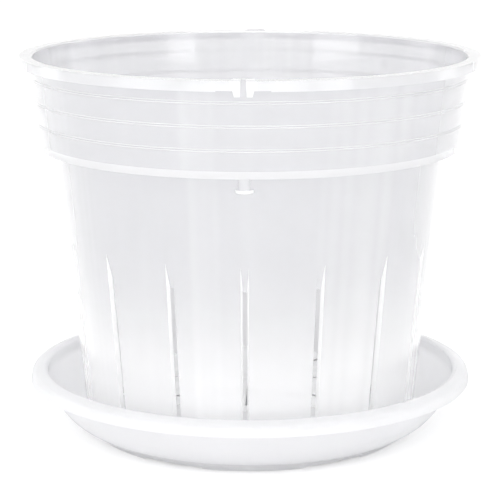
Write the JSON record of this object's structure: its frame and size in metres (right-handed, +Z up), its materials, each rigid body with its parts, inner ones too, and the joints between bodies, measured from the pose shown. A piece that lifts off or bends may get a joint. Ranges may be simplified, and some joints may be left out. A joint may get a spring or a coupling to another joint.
{
  "type": "orchid pot",
  "caption": "Tapered clear plant pot with tall drain slots, a stepped collar and a rolled rim with hanger notches, standing loose in a round drip saucer.",
  "frame": {"origin": "on the ground under the middle of the saucer, on the axis of the pot", "axes": "+Z up along the axis of the pot and saucer, -Y towards the front hanger notch of the rim, +Y towards the back one"},
  "size_m": [0.15, 0.15, 0.1262],
  "materials": {
    "clear_polypropylene": "clear, glossy inside and out, injection moulded",
    "milky_polypropylene": "milky translucent, satin, injection moulded"
  },
  "bodies": {
    "saucer": {"saucer": "milky_polypropylene"},
    "pot": {"pot_collar": "clear_polypropylene", "pot_body": "clear_polypropylene", "pot_floor": "clear_polypropylene"}
  },
  "joints": [
    {"name": "pot_lift", "type": "slide", "parent": "saucer", "child": "pot", "axis": [0, 0, 1], "range_m": [0, 0.04]}
  ]
}
